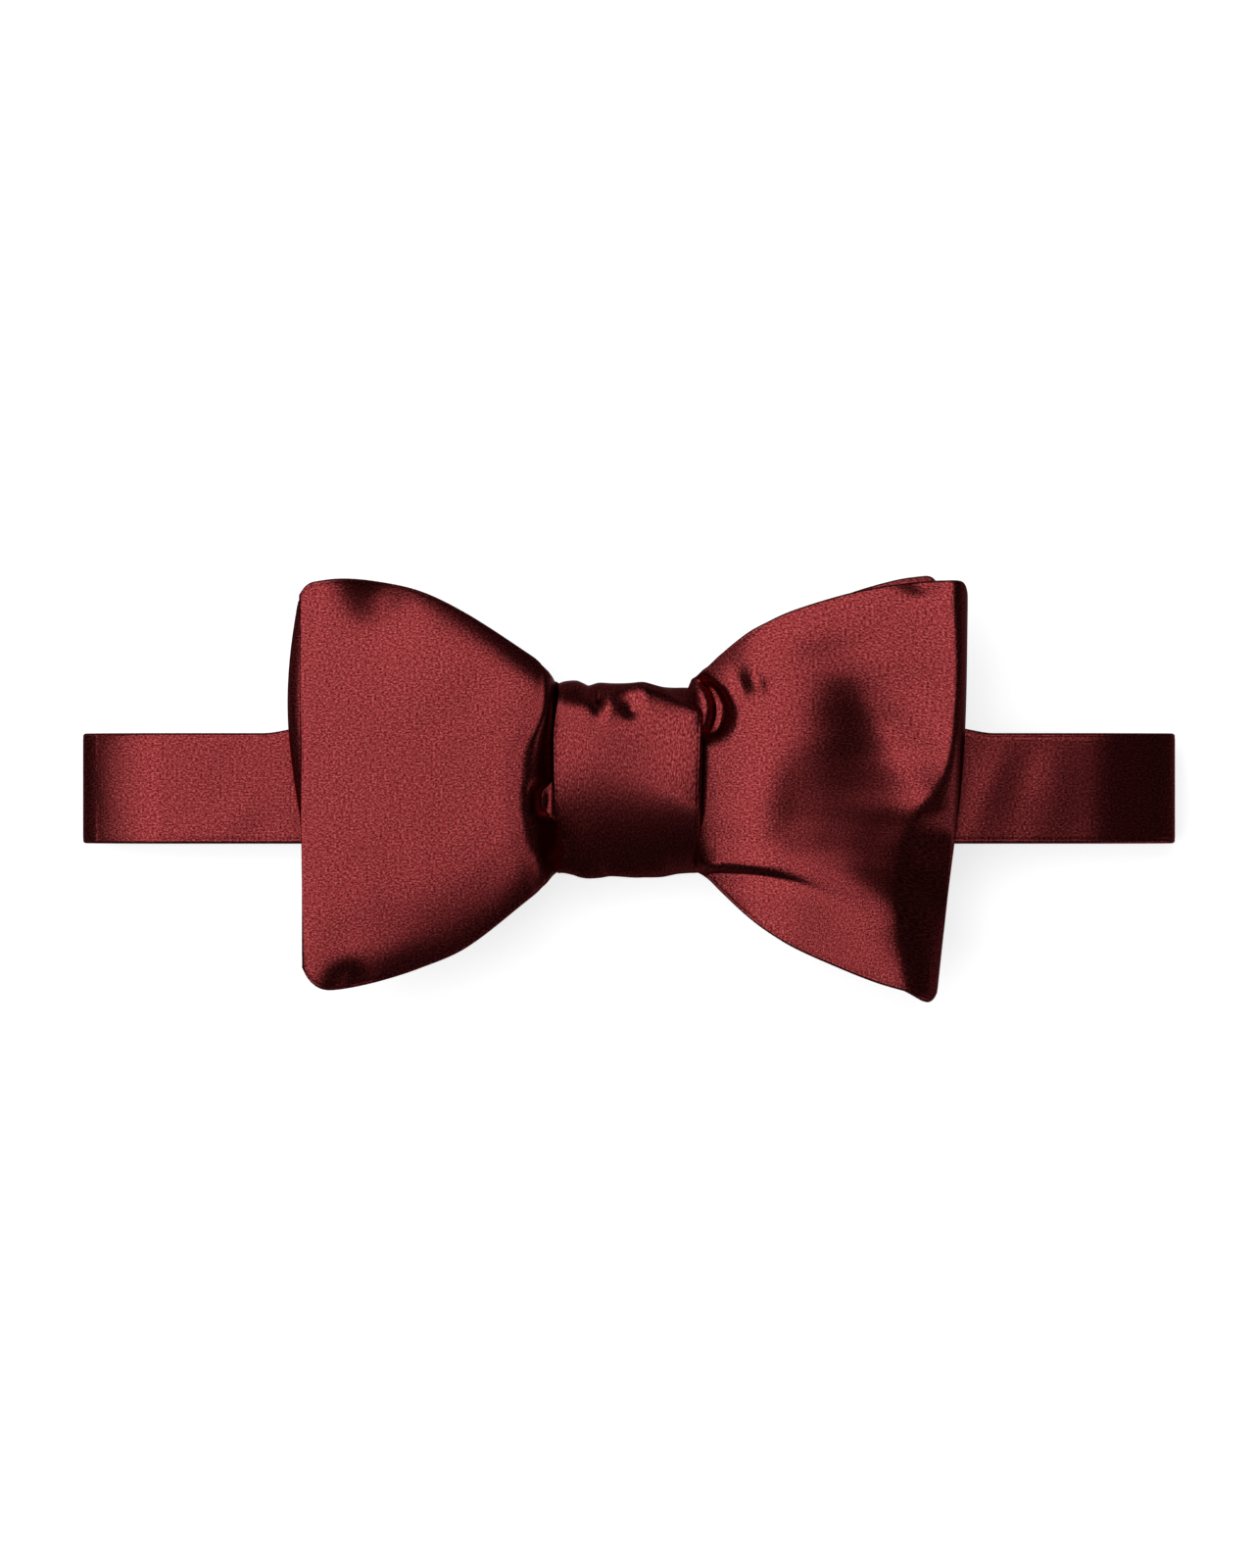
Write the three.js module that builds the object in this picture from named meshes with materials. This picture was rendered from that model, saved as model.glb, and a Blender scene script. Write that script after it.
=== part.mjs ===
// A pre-tied satin bow tie lying on its back, in millimetres.
// +Z is up, out of the bow's front. +X is the photograph's right and +Y is its up.
// The origin is on the surface it lies on, under the middle of its box.
import * as THREE from "three";

// Driving dimensions
const CLOTH_WALL = 1.2;
const BAND_WIDTH = 20;
const BAND_REACH = 99.3;
const GAP = 0.3;
const CLOTH_COLOUR = 0x7a1a26;
const METAL_COLOUR = 0xb4b4b8;

// The knot's middle is this high, and the gathered waists lie in three layers about it.
const KNOT_HEIGHT = 13.5;
const TOP_LAYER = 4.0;
const MIDDLE_LAYER = 1.2;
const LOW_LAYER = -1.6;

// The wrap, a rounded ring. Its edges are tucked in, at the front more than at the back.
const KNOT = {
  middleX: -0.3,
  middleY: 1.4,
  halfWidth: 13.2,
  halfHeight: 17.5,
  halfDepth: 8.4,
  wall: 1.4,
  frontRoundness: 2.3,
  backRoundness: 3.4,
  frontTuck: 1.6,
  backTuck: 0.3,
};

// The band's loop in side view: how high the crest of the upper run is, how far out it is on each
// side, and how long the curve of the end is below. Its top edge flares a little under the wings.
const BAND = {
  leftCrest: 92,
  rightCrest: 86,
  crestHeight: 13,
  upperHeight: 8.9,
  lowerHeight: CLOTH_WALL / 2,
  lowerCurve: 8,
  flareEnd: 58,
  flareFade: 66,
  flare: 1.1,
};

// The clasp is a plate with two slots. Each end of the band folds round the bar beyond a slot and is
// tucked back along the band.
const CLASP = {
  wall: 1.0,
  height: 2.3,
  halfLength: 8.2,
  corner: 1.5,
  bar: 2.2,
  rail: 1.6,
  slot: 2.9,
  slotHalf: 11.6,
  slotCorner: 1.2,
  foldRadius: 1.7,
  foldInset: 0.6,
  foldEnd: 9,
  tuckFrom: 8,
  tuckTo: 16,
  tuckedEnd: 22,
};

// Each wing's outline and height, a row for each section. out is the distance from the middle,
// top and bottom are its two edges, lift is its height over the knot's middle, and belly is how far
// its edges fall below that.
const FRONT_BLADE_END = [
  { out: 12.8, top: 14.2, bottom: -11.8, lift: TOP_LAYER, belly: 1.9 },
  { out: 14.4, top: 16.4, bottom: -13.8, lift: 4.6, belly: 2.2 },
  { out: 15.1, top: 21.0, bottom: -16.5, lift: 5.8, belly: 3.0 },
  { out: 17.0, top: 23.0, bottom: -18.8, lift: 8.2, belly: 4.0 },
  { out: 20.6, top: 26.2, bottom: -22.6, lift: 10.6, belly: 4.8 },
  { out: 28.9, top: 31.1, bottom: -28.3, lift: 11.8, belly: 4.8 },
  { out: 37.3, top: 35.2, bottom: -32.0, lift: 11.6, belly: 4.4 },
  { out: 45.7, top: 37.1, bottom: -34.6, lift: 11.0, belly: 3.8 },
  { out: 52.0, top: 37.5, bottom: -35.9, lift: 10.3, belly: 3.2 },
  { out: 58.6, top: 36.6, bottom: -36.2, lift: 9.4, belly: 2.6 },
];
const FRONT_LOOP_OUTER = [
  { out: 12.4, top: 14.2, bottom: -11.8, lift: TOP_LAYER, belly: 1.9 },
  { out: 13.5, top: 15.4, bottom: -13.0, lift: 4.6, belly: 2.2 },
  { out: 14.4, top: 20.8, bottom: -16.2, lift: 6.2, belly: 3.0 },
  { out: 16.4, top: 23.9, bottom: -18.4, lift: 8.8, belly: 4.0 },
  { out: 21.2, top: 27.8, bottom: -22.9, lift: 11.8, belly: 5.0 },
  { out: 29.6, top: 32.1, bottom: -28.5, lift: 13.2, belly: 5.2 },
  { out: 38.0, top: 35.4, bottom: -32.0, lift: 13.2, belly: 4.8 },
  { out: 45.0, top: 36.9, bottom: -34.7, lift: 12.8, belly: 4.2 },
  { out: 50.0, top: 37.1, bottom: -36.2, lift: 12.6, belly: 3.8 },
];
const FRONT_LOOP_INNER = [
  { out: 3.5, top: 15.2, bottom: -12.9, lift: MIDDLE_LAYER, belly: 1.0 },
  { out: 12.4, top: 15.2, bottom: -12.9, lift: MIDDLE_LAYER, belly: 1.0 },
  { out: 13.3, top: 15.8, bottom: -13.5, lift: 1.4, belly: 1.0 },
  { out: 17.0, top: 22.0, bottom: -18.0, lift: 2.6, belly: 1.0 },
  { out: 25.0, top: 29.2, bottom: -25.0, lift: 3.8, belly: 0.8 },
  { out: 38.0, top: 34.8, bottom: -31.6, lift: 4.4, belly: 0.6 },
  { out: 50.0, top: 36.8, bottom: -36.4, lift: 4.6, belly: 0.4 },
];
const REAR_LOOP_OUTER = [
  { out: 3.5, top: 15.2, bottom: -12.9, lift: MIDDLE_LAYER, belly: 1.0 },
  { out: 12.8, top: 15.2, bottom: -12.9, lift: MIDDLE_LAYER, belly: 1.0 },
  { out: 13.9, top: 15.8, bottom: -13.5, lift: 1.5, belly: 1.0 },
  { out: 17.6, top: 22.0, bottom: -18.0, lift: 3.5, belly: 2.0 },
  { out: 25.0, top: 28.2, bottom: -25.0, lift: 7.0, belly: 3.8 },
  { out: 38.0, top: 34.4, bottom: -31.4, lift: 7.6, belly: 4.2 },
  { out: 55.6, top: 35.6, bottom: -34.2, lift: 7.2, belly: 3.4 },
];
const REAR_LOOP_INNER = [
  { out: 3.5, top: 15.2, bottom: -12.9, lift: LOW_LAYER, belly: 0 },
  { out: 12.8, top: 15.2, bottom: -12.9, lift: LOW_LAYER, belly: 0 },
  { out: 13.9, top: 15.8, bottom: -13.5, lift: -1.5, belly: 0 },
  { out: 17.6, top: 21.6, bottom: -17.6, lift: -0.7, belly: 0 },
  { out: 25.0, top: 28.0, bottom: -24.6, lift: 0.6, belly: 0 },
  { out: 38.0, top: 34.0, bottom: -31.0, lift: 1.0, belly: 0 },
  { out: 55.6, top: 35.2, bottom: -33.8, lift: 1.2, belly: 0 },
];
const REAR_BLADE_END = [
  { out: 3.5, top: 15.2, bottom: -12.9, lift: LOW_LAYER, belly: 0 },
  { out: 12.4, top: 15.2, bottom: -12.9, lift: LOW_LAYER, belly: 0 },
  { out: 13.3, top: 15.8, bottom: -13.5, lift: -1.5, belly: 0 },
  { out: 17.0, top: 22.0, bottom: -18.0, lift: -0.7, belly: 0.1 },
  { out: 25.0, top: 29.0, bottom: -24.8, lift: 0.6, belly: 0.4 },
  { out: 38.0, top: 34.6, bottom: -31.2, lift: 1.4, belly: 0.6 },
  { out: 48.0, top: 37.6, bottom: -34.4, lift: 1.6, belly: 0.6 },
  { out: 55.4, top: 38.6, bottom: -35.6, lift: 1.6, belly: 0.6 },
];

// How each wing's outer edge leans and bows: lean moves its top outwards, bow draws both corners in,
// and crown is the height where it reaches out furthest, as a share of the half height.
const HALF_HEIGHT = 37;
const BOW_LIMIT = 0.9;
const FRONT_BLADE_EDGE = { lean: 0.3, bow: 0.7, crown: 0.1 };
const FRONT_LOOP_EDGE = { lean: 2.6, bow: 3.0, crown: 0.1 };
const REAR_LOOP_EDGE = { lean: 0, bow: 9, crown: 0.42 };
const REAR_BLADE_EDGE = { lean: 0.4, bow: 0.4, crown: 0 };
const EDGE_FROM = 26;

// The turned folds at the ends of the loops: how far each turn reaches, how much its edges are pinched
// at the tip, and how far the lower edge runs on down. Then the radii of the blade ends' corners.
const FRONT_FOLD = { turn: 8.9, pinch: 2.4, drop: 2.9 };
const REAR_FOLD = { turn: 5.2, pinch: 1.6, drop: 0 };
const TURN_STEPS = 8;
const PINCH_POWER = 8;
const TOP_CORNER = 2.2;
const BOTTOM_CORNER = 4.6;
const CORNER_STEPS = [4.6, 3.2, 2.0, 1.1, 0.45, 0.1, 0];

// Gathers radiate from the knot. across is the place over the cloth's width, from -1 to 1.
const GATHERS = [
  { across: 0.78, spread: 0.12, depth: 1.1 },
  { across: 0.44, spread: 0.12, depth: 1.0 },
  { across: -0.1, spread: 0.14, depth: 0.8 },
  { across: -0.72, spread: 0.12, depth: 1.2 },
];
const GATHER_LENGTH = 9;
const BELLY_POWER = 3;

// Dents and swells of the front cloth: middle, size along and across, turn in degrees, height.
const FRONT_FOLDS = [
  { x: 46.5, y: 8, along: 20, across: 5.5, turn: -69, height: -2.8 },
  { x: 32, y: 4, along: 16, across: 8, turn: -75, height: 1.0 },
  { x: 28, y: -15.5, along: 11, across: 1.8, turn: -17, height: -1.6 },
  { x: 38, y: -25, along: 12, across: 5, turn: -30, height: 0.9 },
  { x: 20.5, y: 15.5, along: 5.5, across: 1.5, turn: -80, height: -1.5 },
  { x: 16.6, y: 15.6, along: 3.4, across: 1.2, turn: -70, height: -0.9 },
  { x: 53, y: 35, along: 3, across: 2.4, turn: 0, height: -0.8 },
  { x: -16, y: -4, along: 8, across: 2, turn: 86, height: -1.0 },
  { x: -49.5, y: 34, along: 5, across: 3, turn: 70, height: -0.9 },
  { x: -52, y: -33, along: 4, across: 3, turn: 40, height: -0.7 },
];
const KNOT_FOLDS = [
  { x: -7.7, y: 18, along: 2.6, across: 1.3, turn: 90, height: -0.9 },
  { x: -2.2, y: 15, along: 2.2, across: 1.8, turn: 60, height: -0.8 },
  { x: 10, y: 15.5, along: 5, across: 1.8, turn: -35, height: -0.7 },
];

// How far out the sections of the cloth are, and how many spans each has across.
const ROOT_PLACES = [6.5, 12.6, 13.4, 14.2, 15.2, 16.6, 18.4, 20.6, 23.2, 26.4];
const WING_PLACES = [30.2, 34.2, 38.4, 42.6, 46.8];
const REAR_PLACES = [3.5, 12.6, 13.4, 14.4, 15.8, 18.0, 21.0, 25.0, 30.0, 36.0, 42.6];
const RETURN_PLACES = [38, 31, 25, 21, 17.6, 15.2, 13.6, 12.6, 3.5];
const KNOT_STATIONS = [-1, -0.94, -0.8, -0.55, -0.25, 0, 0.25, 0.55, 0.8, 0.94, 1];
const FRONT_COLUMNS = 18;
const REAR_COLUMNS = 10;
const KNOT_AROUND = 40;

// A cut edge is thinner than the wall by this share.
const EDGE_SOFTNESS = 0.3;

const ramp = (from, to, x) => THREE.MathUtils.smoothstep(x, from, to);
const mix = THREE.MathUtils.lerp;
const superellipse = (share, half, roundness) =>
  Math.sign(share) * Math.abs(share) ** (2 / roundness) * half;

// A column of a table at any place along it, on a smooth curve through the rows.
function tableValue(rows, column, out) {
  const last = rows.length - 1;
  if (out <= rows[0].out) return rows[0][column];
  if (out >= rows[last].out) return rows[last][column];
  const i = rows.findIndex((row) => row.out > out) - 1;
  const slope = (k) => {
    const a = rows[Math.max(k - 1, 0)];
    const b = rows[Math.min(k + 1, last)];
    return (b[column] - a[column]) / (b.out - a.out);
  };
  const span = rows[i + 1].out - rows[i].out;
  const t = (out - rows[i].out) / span;
  const rise = (1 - t) * (1 - t) * t * span * slope(i) - t * t * (1 - t) * span * slope(i + 1);
  const share = t * t * (3 - 2 * t);
  return mix(rows[i][column], rows[i + 1][column], share) + rise;
}

// The sum of long soft dents and swells at a point of the front view.
function relief(folds, x, y) {
  return folds.reduce((sum, fold) => {
    const turn = THREE.MathUtils.degToRad(fold.turn);
    const along = (x - fold.x) * Math.cos(turn) + (y - fold.y) * Math.sin(turn);
    const across = (y - fold.y) * Math.cos(turn) - (x - fold.x) * Math.sin(turn);
    return sum + fold.height * Math.exp(-((along / fold.along) ** 2) - (across / fold.across) ** 2);
  }, 0);
}

function edgeShift(edge, y) {
  const share = y / HALF_HEIGHT;
  const offCrown = (share - edge.crown) ** 2;
  return edge.lean * share - (edge.bow * offCrown) / (1 + BOW_LIMIT * offCrown);
}

// How much a rounded corner takes off an edge's height, at a distance from the end.
function cornerDrop(distance, radius) {
  const inside = Math.max(radius - distance, 0);
  return radius - Math.sqrt(radius * radius - inside * inside);
}

function gatherDepth(across, out) {
  const fade = Math.exp(-((Math.max(out - KNOT.halfWidth, 0) / GATHER_LENGTH) ** 2));
  const dip = (gather) => gather.depth * Math.exp(-(((across - gather.across) / gather.spread) ** 2));
  return GATHERS.reduce((sum, gather) => sum - fade * dip(gather), 0);
}

// One row of points across the cloth, for a section on one side: -1 is left and 1 is right.
function clothRow(section, edge, columns, folds) {
  const row = [];
  for (let j = 0; j <= columns; j++) {
    const across = (2 * j) / columns - 1;
    const y = mix(section.bottom, section.top, j / columns);
    const reach = section.out + edgeShift(edge, y) * ramp(EDGE_FROM, section.edgeTo, section.out);
    const x = section.side * reach;
    const belly = section.belly * Math.abs(across) ** BELLY_POWER;
    const shaped = relief(folds, x, y) * section.shown;
    const z = KNOT_HEIGHT + section.lift - belly + shaped + gatherDepth(across, section.out);
    row.push(new THREE.Vector3(x, y, z));
  }
  return row;
}

// The section of a table at a distance out. shown is how much of the front's dents it takes.
function section(side, rows, out, shown = 1) {
  const made = { side, out, shown, edgeTo: rows[rows.length - 1].out };
  for (const column of ["top", "bottom", "lift", "belly"]) made[column] = tableValue(rows, column, out);
  return made;
}

// Sections from the knot out to a blade end with rounded corners.
function bladeSections(side, rows, places) {
  const tip = rows[rows.length - 1].out;
  return [...places, ...CORNER_STEPS.map((step) => tip - step)].map((out) => {
    const made = section(side, rows, out);
    made.top -= cornerDrop(tip - out, TOP_CORNER);
    made.bottom += cornerDrop(tip - out, BOTTOM_CORNER);
    return made;
  });
}

// The turn of a loop: half an ellipse from the outer run to the inner one.
function turnSections(side, outer, inner, fold) {
  const start = outer[outer.length - 1];
  const end = inner[inner.length - 1];
  const middle = (start.lift + end.lift) / 2;
  const half = (start.lift - end.lift) / 2;
  return Array.from({ length: TURN_STEPS - 1 }, (_, k) => {
    const angle = Math.PI * (0.5 - (k + 1) / TURN_STEPS);
    const share = 0.5 - Math.sin(angle) / 2;
    const pinch = fold.pinch * Math.cos(angle) ** PINCH_POWER;
    return {
      side,
      out: start.out + fold.turn * Math.cos(angle),
      lift: middle + half * Math.sin(angle),
      top: mix(start.top, end.top, share) - pinch,
      bottom: mix(start.bottom, end.bottom, share) + pinch - fold.drop * Math.cos(angle),
      belly: mix(start.belly, end.belly, share),
      shown: Math.max(Math.sin(angle), 0),
      edgeTo: start.out,
    };
  });
}

// A closed wall round a sheet that is given as rows of points on its middle surface. The rows of a ring
// are closed on themselves.
function clothSolid(rows, { wall = CLOTH_WALL, closed = false, softness = EDGE_SOFTNESS } = {}) {
  const height = rows.length;
  const width = rows[0].length;
  const at = (i, j) => rows[closed ? (i + height) % height : THREE.MathUtils.clamp(i, 0, height - 1)][j];
  const positions = [];
  const addSide = (sign) => {
    for (let i = 0; i < height; i++) {
      for (let j = 0; j < width; j++) {
        const alongRows = at(i + 1, j).clone().sub(at(i - 1, j));
        const alongRow = at(i, Math.min(j + 1, width - 1)).clone().sub(at(i, Math.max(j - 1, 0)));
        const normal = alongRows.cross(alongRow).normalize();
        const rim = Math.min(j, width - 1 - j, closed ? width : i, closed ? width : height - 1 - i);
        const half = (wall / 2) * (rim === 0 ? 1 - softness : 1);
        const p = at(i, j).clone().addScaledVector(normal, sign * half);
        positions.push(p.x, p.y, p.z);
      }
    }
  };
  addSide(1);
  addSide(-1);
  const under = height * width;
  const index = (i, j) => (i % height) * width + j;
  const faces = [];
  const quad = (a, b, c, d) => faces.push(a, b, c, a, c, d);
  const spans = closed ? height : height - 1;
  for (let i = 0; i < spans; i++) {
    for (let j = 0; j < width - 1; j++) {
      const [a, b, c, d] = [index(i, j), index(i + 1, j), index(i + 1, j + 1), index(i, j + 1)];
      quad(a, b, c, d);
      quad(under + a, under + d, under + c, under + b);
    }
    const [low, nextLow] = [index(i, 0), index(i + 1, 0)];
    quad(low, under + low, under + nextLow, nextLow);
    const [high, nextHigh] = [index(i, width - 1), index(i + 1, width - 1)];
    quad(nextHigh, under + nextHigh, under + high, high);
  }
  for (let j = 0; !closed && j < width - 1; j++) {
    const [first, nextFirst] = [index(0, j), index(0, j + 1)];
    quad(first, nextFirst, under + nextFirst, under + first);
    const [last, nextLast] = [index(height - 1, j), index(height - 1, j + 1)];
    quad(last, under + last, under + nextLast, nextLast);
  }
  const geometry = new THREE.BufferGeometry();
  geometry.setAttribute("position", new THREE.Float32BufferAttribute(positions, 3));
  geometry.setIndex(faces);
  geometry.computeVertexNormals();
  return geometry;
}

// The front blade: blade end on the left, through the knot, loop on the right and back to the knot.
function frontBow() {
  const places = [...ROOT_PLACES, ...WING_PLACES, 50.0];
  const left = bladeSections(-1, FRONT_BLADE_END, places);
  const middle = section(1, FRONT_LOOP_OUTER, 0);
  const right = places.map((out) => section(1, FRONT_LOOP_OUTER, out));
  const turn = turnSections(1, FRONT_LOOP_OUTER, FRONT_LOOP_INNER, FRONT_FOLD);
  const back = [50.0, ...RETURN_PLACES].map((out) => section(1, FRONT_LOOP_INNER, out, 0));
  const rows = [...left.reverse(), middle, ...right, ...turn, ...back].map((made) =>
    clothRow(made, made.side < 0 ? FRONT_BLADE_EDGE : FRONT_LOOP_EDGE, FRONT_COLUMNS, FRONT_FOLDS),
  );
  return clothSolid(rows);
}

// The rear blade: blade end on the right, through the knot, loop on the left and back to the knot.
function rearBow() {
  const right = bladeSections(1, REAR_BLADE_END, REAR_PLACES);
  const left = [...REAR_PLACES, 51.2, 55.6].map((out) => section(-1, REAR_LOOP_OUTER, out));
  const turn = turnSections(-1, REAR_LOOP_OUTER, REAR_LOOP_INNER, REAR_FOLD);
  const back = [55.6, 47, ...RETURN_PLACES].map((out) => section(-1, REAR_LOOP_INNER, out));
  const rows = [...right.reverse(), ...left, ...turn, ...back].map((made) =>
    clothRow(made, made.side < 0 ? REAR_LOOP_EDGE : REAR_BLADE_EDGE, REAR_COLUMNS, []),
  );
  return clothSolid(rows);
}

// The wrap round the waists: a rounded ring, puffed between its tucked edges and dented at the top.
function knot() {
  const rows = [];
  for (let i = 0; i < KNOT_AROUND; i++) {
    const angle = (2 * Math.PI * i) / KNOT_AROUND;
    const front = Math.sin(angle) > 0;
    const roundness = front ? KNOT.frontRoundness : KNOT.backRoundness;
    const row = KNOT_STATIONS.map((station) => {
      const tuck = (front ? KNOT.frontTuck : KNOT.backTuck) * station ** 4;
      const halfHeight = KNOT.halfHeight - KNOT.wall / 2 - KNOT.backTuck * station ** 4;
      const halfDepth = KNOT.halfDepth - KNOT.wall / 2 - tuck;
      const y = KNOT.middleY + superellipse(Math.cos(angle), halfHeight, roundness);
      const z = KNOT_HEIGHT + superellipse(Math.sin(angle), halfDepth, roundness);
      const x = KNOT.middleX + station * KNOT.halfWidth;
      const dent = relief(KNOT_FOLDS, x, y) * ramp(KNOT_HEIGHT - 2, KNOT_HEIGHT + 2, z);
      return new THREE.Vector3(x, y + dent * Math.cos(angle), z + dent * Math.sin(angle));
    });
    rows.push(row);
  }
  return clothSolid(rows, { wall: KNOT.wall, closed: true });
}

// Half of the band's line in side view, from its tucked end round the clasp's bar, along the surface,
// round the end of the loop and back over to the knot's middle.
function bandHalf(crestOut) {
  const tuckedHeight = BAND.lowerHeight + CLOTH_WALL + GAP;
  const line = [{ x: CLASP.tuckedEnd, z: tuckedHeight }];
  const run = (to, steps, heightAt) => {
    const from = line[line.length - 1].x;
    for (let k = 1; k <= steps; k++) {
      const x = mix(from, to, k / steps);
      line.push({ x, z: heightAt(x) });
    }
  };
  const turn = (middleX, middleZ, reachX, reachZ, from, to) => {
    for (let k = 1; k <= TURN_STEPS; k++) {
      const angle = THREE.MathUtils.degToRad(mix(from, to, k / TURN_STEPS));
      line.push({ x: middleX + reachX * Math.cos(angle), z: middleZ + reachZ * Math.sin(angle) });
    }
  };
  const foldX = CLASP.halfLength - CLASP.bar + CLASP.foldInset;
  const foldTop = CLASP.height + CLASP.foldRadius;
  const end = BAND_REACH - CLOTH_WALL / 2;
  const endMiddle = (BAND.crestHeight + BAND.lowerHeight) / 2;
  const endHalf = (BAND.crestHeight - BAND.lowerHeight) / 2;
  const rise = (x) => mix(BAND.upperHeight, BAND.crestHeight, ramp(KNOT.halfWidth, crestOut, x));
  run(CLASP.foldEnd, 5, (x) => mix(foldTop, tuckedHeight, ramp(CLASP.tuckFrom, CLASP.tuckTo, x)));
  turn(foldX, CLASP.height, CLASP.foldRadius, CLASP.foldRadius, 90, 270);
  run(end - BAND.lowerCurve, 5, () => BAND.lowerHeight);
  turn(end - BAND.lowerCurve, endMiddle, BAND.lowerCurve, endHalf, -90, 0);
  turn(crestOut, endMiddle, end - crestOut, endHalf, 0, 90);
  run(0, 16, rise);
  return line;
}

function neckBand() {
  const leftHalf = bandHalf(BAND.leftCrest).map(({ x, z }) => ({ x: -x, z }));
  const line = [...bandHalf(BAND.rightCrest), ...leftHalf.slice(0, -1).reverse()];
  const rows = line.map(({ x, z }) => {
    const upper = ramp(BAND.upperHeight - GAP, BAND.upperHeight, z);
    const flare = BAND.flare * upper * (1 - ramp(BAND.flareEnd, BAND.flareFade, Math.abs(x)));
    const [low, high] = [-BAND_WIDTH / 2, BAND_WIDTH / 2 + flare];
    return [low, 0, high].map((y) => new THREE.Vector3(x, y, z));
  });
  return clothSolid(rows, { softness: 0 });
}

// A rectangle with rounded corners, as four arcs.
function roundedOutline(outline, middleX, halfX, halfY, radius) {
  const corners = [[1, 1], [-1, 1], [-1, -1], [1, -1]];
  corners.forEach(([signX, signY], k) => {
    const x = middleX + signX * (halfX - radius);
    const y = signY * (halfY - radius);
    outline.absarc(x, y, radius, (k * Math.PI) / 2, ((k + 1) * Math.PI) / 2, false);
  });
  return outline;
}

function clasp() {
  const halfWidth = CLASP.slotHalf + CLASP.rail;
  const plate = roundedOutline(new THREE.Shape(), 0, CLASP.halfLength, halfWidth, CLASP.corner);
  for (const side of [-1, 1]) {
    const middle = side * (CLASP.halfLength - CLASP.bar - CLASP.slot / 2);
    const slot = new THREE.Path();
    plate.holes.push(roundedOutline(slot, middle, CLASP.slot / 2, CLASP.slotHalf, CLASP.slotCorner));
  }
  const geometry = new THREE.ExtrudeGeometry(plate, {
    depth: CLASP.wall,
    bevelEnabled: false,
    curveSegments: 4,
  });
  geometry.translate(0, 0, CLASP.height - CLASP.wall / 2);
  return geometry;
}

const satin = () =>
  new THREE.MeshStandardMaterial({ color: CLOTH_COLOUR, roughness: 0.45, metalness: 0.1 });
const metal = () =>
  new THREE.MeshStandardMaterial({ color: METAL_COLOUR, roughness: 0.3, metalness: 0.9 });

const bowTie = new THREE.Group();
const add = (name, geometry, material) => {
  const mesh = new THREE.Mesh(geometry, material);
  mesh.name = name;
  bowTie.add(mesh);
};
add("front_bow", frontBow(), satin());
add("rear_bow", rearBow(), satin());
add("knot", knot(), satin());
add("neck_band", neckBand(), satin());
add("clasp", clasp(), metal());

export default bowTie;
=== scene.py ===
import math

import bpy
import numpy as np
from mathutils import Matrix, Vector


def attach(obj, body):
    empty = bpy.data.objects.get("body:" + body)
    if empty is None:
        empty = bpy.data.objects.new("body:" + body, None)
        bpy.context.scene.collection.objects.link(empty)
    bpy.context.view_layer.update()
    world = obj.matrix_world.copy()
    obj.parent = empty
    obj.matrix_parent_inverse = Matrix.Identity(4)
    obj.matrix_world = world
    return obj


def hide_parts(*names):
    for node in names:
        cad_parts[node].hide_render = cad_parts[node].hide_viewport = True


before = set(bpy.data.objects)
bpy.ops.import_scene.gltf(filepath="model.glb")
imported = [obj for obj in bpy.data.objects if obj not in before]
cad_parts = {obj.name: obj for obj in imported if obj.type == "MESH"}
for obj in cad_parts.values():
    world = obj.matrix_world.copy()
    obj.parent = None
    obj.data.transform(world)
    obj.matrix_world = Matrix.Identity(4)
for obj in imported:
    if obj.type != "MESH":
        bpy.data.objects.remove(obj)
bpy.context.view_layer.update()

MM = 0.001
CM = 0.01

# Driving dimensions
CLOTH_WALL = 1.2
BAND_WIDTH = 20.0
BAND_REACH = 99.3
KNOT_HEIGHT = 13.5
TOP_LAYER = 3.0
MIDDLE_LAYER = 1.2
LOW_LAYER = -1.6

KNOT_WALL = 1.4
KNOT_HALF_DEPTH = 8.4
KNOT_TOP = 18.8
KNOT_BOTTOM = -16.0
KNOT_CREASE_LEFT = 12.5
KNOT_CREASE_RIGHT = -4.0
KNOT_TOP_ROUNDNESS = 2.9
KNOT_BOTTOM_ROUNDNESS = 1.35
KNOT_SAG = 1.4
KNOT_BACK_ROUNDNESS = 3.4
KNOT_LEFT_TUCK = 0.3
KNOT_RIGHT_TUCK = 0.2
KNOT_BACK_TUCK = 0.3
KNOT_HALF_WIDTH = 13.2

BAND_LEFT_CREST = 85.0
BAND_RIGHT_CREST = 66.0
BAND_LEFT_ROUNDNESS = 1.28
BAND_RIGHT_ROUNDNESS = 2.3
BAND_CREST_HEIGHT = 13.0
BAND_RISE_END = 62.0
BAND_UPPER_HEIGHT = 8.9
BAND_LOWER_HEIGHT = 0.6
BAND_LOWER_CURVE = 8.0
BAND_FLARE = 1.1
BAND_FLARE_END = 58.0
BAND_FLARE_FADE = 66.0
BAND_GAP = 0.3

CLASP_HEIGHT = 2.3
CLASP_FOLD_X = 6.6
CLASP_FOLD_RADIUS = 1.7
CLASP_FOLD_END = 9.0
CLASP_TUCK_FROM = 8.0
CLASP_TUCK_TO = 16.0
CLASP_TUCKED_END = 22.0

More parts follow.
